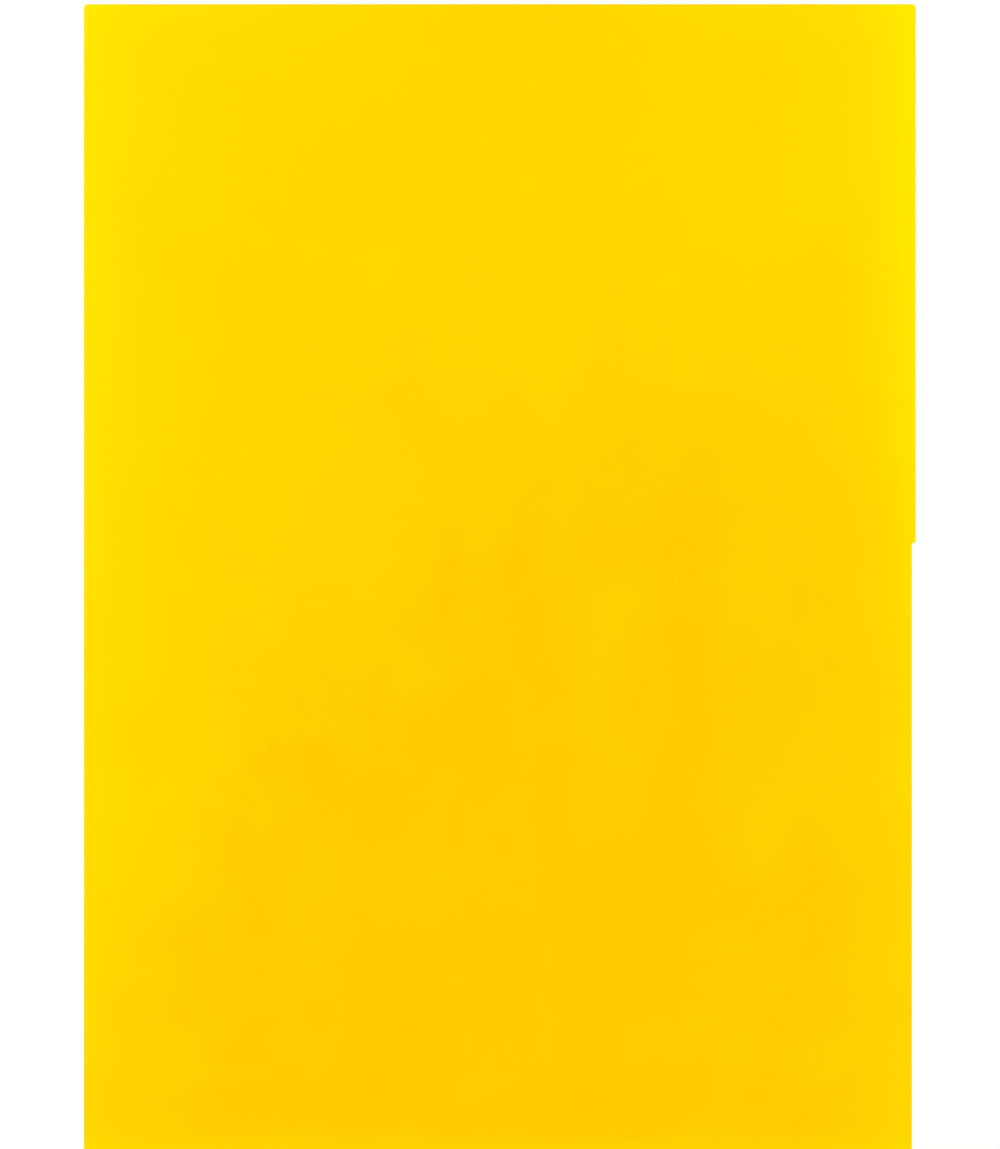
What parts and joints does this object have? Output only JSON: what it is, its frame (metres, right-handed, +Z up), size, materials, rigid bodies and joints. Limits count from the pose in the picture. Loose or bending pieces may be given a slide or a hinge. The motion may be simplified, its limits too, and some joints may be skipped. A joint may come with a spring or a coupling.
{
  "type": "welding curtain screen",
  "caption": "Free-standing welding curtain: a plain yellow PVC sheet held by pockets on its back to a knock-down round-tube frame that stands on feet with swivel castors.",
  "frame": {"origin": "on the floor under the middle of the screen, at the centre of its footprint", "axes": "+Z up, the film faces -Y, +X to the right as seen from the front"},
  "size_m": [1.3, 0.5366, 2],
  "materials": {
    "curtain_film": "translucent yellow PVC film, satin sheen",
    "frame_paint": "light grey powder coat on steel tube",
    "zinc_plate": "bright zinc plate",
    "spring_steel": "blued spring steel",
    "black_nylon": "moulded black nylon, fine spark texture",
    "grey_tread": "non-marking grey rubber tread"
  },
  "bodies": {
    "screen": {"bottom_pocket": "curtain_film", "bottom_rail": "frame_paint", "curtain_film": "curtain_film", "left_button_spring": "spring_steel", "left_corner_elbow": "black_nylon", "left_foot": "frame_paint", "left_front_castor_nut": "zinc_plate", "left_front_castor_stem": "zinc_plate", "left_front_foot_cap": "black_nylon", "left_joint_sleeve": "zinc_plate", "left_lower_pocket": "curtain_film", "left_lower_upright": "frame_paint", "left_rail_bolt": "zinc_plate", "left_rail_plug": "zinc_plate", "left_rail_screw": "zinc_plate", "left_rear_castor_nut": "zinc_plate", "left_rear_castor_stem": "zinc_plate", "left_rear_foot_cap": "black_nylon", "left_upper_pocket": "curtain_film", "left_upper_upright": "frame_paint", "left_upright_screw": "zinc_plate", "right_button_spring": "spring_steel", "right_corner_elbow": "black_nylon", "right_foot": "frame_paint", "right_front_castor_nut": "zinc_plate", "right_front_castor_stem": "zinc_plate", "right_front_foot_cap": "black_nylon", "right_joint_sleeve": "zinc_plate", "right_lower_pocket": "curtain_film", "right_lower_upright": "frame_paint", "right_rail_bolt": "zinc_plate", "right_rail_plug": "zinc_plate", "right_rail_screw": "zinc_plate", "right_rear_castor_nut": "zinc_plate", "right_rear_castor_stem": "zinc_plate", "right_rear_foot_cap": "black_nylon", "right_upper_pocket": "curtain_film", "right_upper_upright": "frame_paint", "right_upright_screw": "zinc_plate", "top_pocket": "curtain_film", "top_rail": "frame_paint"},
    "left_front_fork": {"left_front_castor_fork": "zinc_plate", "left_front_castor_axle": "zinc_plate"},
    "left_front_wheel": {"left_front_castor_wheel": "grey_tread"},
    "left_front_pedal": {"left_front_brake_pedal": "black_nylon"},
    "left_rear_fork": {"left_rear_castor_fork": "zinc_plate", "left_rear_castor_axle": "zinc_plate"},
    "left_rear_wheel": {"left_rear_castor_wheel": "grey_tread"},
    "right_front_fork": {"right_front_castor_fork": "zinc_plate", "right_front_castor_axle": "zinc_plate"},
    "right_front_wheel": {"right_front_castor_wheel": "grey_tread"},
    "right_front_pedal": {"right_front_brake_pedal": "black_nylon"},
    "right_rear_fork": {"right_rear_castor_fork": "zinc_plate", "right_rear_castor_axle": "zinc_plate"},
    "right_rear_wheel": {"right_rear_castor_wheel": "grey_tread"},
    "left_button": {"left_snap_button": "zinc_plate"},
    "left_knob": {"left_clamp_knob": "black_nylon"},
    "right_button": {"right_snap_button": "zinc_plate"},
    "right_knob": {"right_clamp_knob": "black_nylon"}
  },
  "joints": [
    {"name": "left_front_swivel", "type": "hinge", "parent": "screen", "child": "left_front_fork", "pos_m": [-0.605, -0.235, 0.065], "axis": [0, 0, 1], "continuous": true},
    {"name": "left_front_roll", "type": "hinge", "parent": "left_front_fork", "child": "left_front_wheel", "pos_m": [-0.585, -0.235, 0.025], "axis": [0, 1, 0], "continuous": true},
    {"name": "left_front_brake", "type": "hinge", "parent": "left_front_fork", "child": "left_front_pedal", "pos_m": [-0.577, -0.235, 0.056], "axis": [0, 1, 0], "range_deg": [0, 14]},
    {"name": "left_rear_swivel", "type": "hinge", "parent": "screen", "child": "left_rear_fork", "pos_m": [-0.605, 0.235, 0.065], "axis": [0, 0, 1], "continuous": true},
    {"name": "left_rear_roll", "type": "hinge", "parent": "left_rear_fork", "child": "left_rear_wheel", "pos_m": [-0.585, 0.235, 0.025], "axis": [0, 1, 0], "continuous": true},
    {"name": "right_front_swivel", "type": "hinge", "parent": "screen", "child": "right_front_fork", "pos_m": [0.605, -0.235, 0.065], "axis": [0, 0, 1], "continuous": true},
    {"name": "right_front_roll", "type": "hinge", "parent": "right_front_fork", "child": "right_front_wheel", "pos_m": [0.585, -0.235, 0.025], "axis": [0, 1, 0], "continuous": true},
    {"name": "right_front_brake", "type": "hinge", "parent": "right_front_fork", "child": "right_front_pedal", "pos_m": [0.577, -0.235, 0.056], "axis": [0, -1, 0], "range_deg": [0, 14]},
    {"name": "right_rear_swivel", "type": "hinge", "parent": "screen", "child": "right_rear_fork", "pos_m": [0.605, 0.235, 0.065], "axis": [0, 0, 1], "continuous": true},
    {"name": "right_rear_roll", "type": "hinge", "parent": "right_rear_fork", "child": "right_rear_wheel", "pos_m": [0.585, 0.235, 0.025], "axis": [0, 1, 0], "continuous": true},
    {"name": "left_button_press", "type": "slide", "parent": "screen", "child": "left_button", "axis": [0, -1, 0], "range_m": [0, 0.005], "stiffness_N_per_m": 1500, "deforming": ["left_button_spring"]},
    {"name": "left_knob_turn", "type": "hinge", "parent": "screen", "child": "left_knob", "pos_m": [-0.605, 0.03, 0.1416], "axis": [0, 1, 0], "continuous": true},
    {"name": "right_button_press", "type": "slide", "parent": "screen", "child": "right_button", "axis": [0, -1, 0], "range_m": [0, 0.005], "stiffness_N_per_m": 1500, "deforming": ["right_button_spring"]},
    {"name": "right_knob_turn", "type": "hinge", "parent": "screen", "child": "right_knob", "pos_m": [0.605, 0.03, 0.1416], "axis": [0, 1, 0], "continuous": true}
  ]
}
